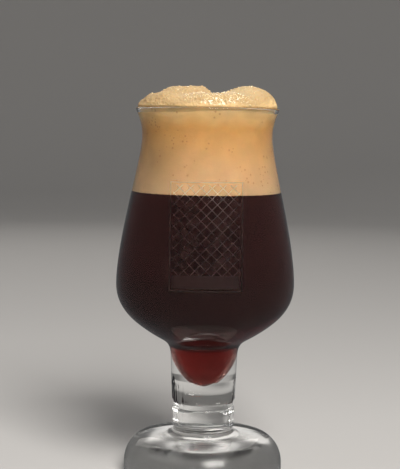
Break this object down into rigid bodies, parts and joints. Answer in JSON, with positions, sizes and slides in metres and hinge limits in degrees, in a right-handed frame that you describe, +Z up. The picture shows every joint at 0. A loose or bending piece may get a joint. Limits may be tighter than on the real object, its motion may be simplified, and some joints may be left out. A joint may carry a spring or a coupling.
{
  "type": "stemmed tulip glass of stout",
  "caption": "Stemmed tulip pint glass with a thick round foot, filled with dark stout under a deep tan foam head that rises over the rim.",
  "frame": {"origin": "on the surface that the glass stands on, in the middle of its foot", "axes": "+Z up along the axis of the glass, -Y towards the side shown in front, +X to the right of that side"},
  "size_m": [0.0942, 0.0942, 0.206],
  "materials": {
    "clear_glass": "clear, polished",
    "stout": "dark ruby brown liquid, glossy",
    "foam": "tan foam, fine-bubbled, moist on top"
  },
  "bodies": {
    "root": {"glass": "clear_glass", "stout": "stout", "head": "foam"}
  },
  "joints": []
}
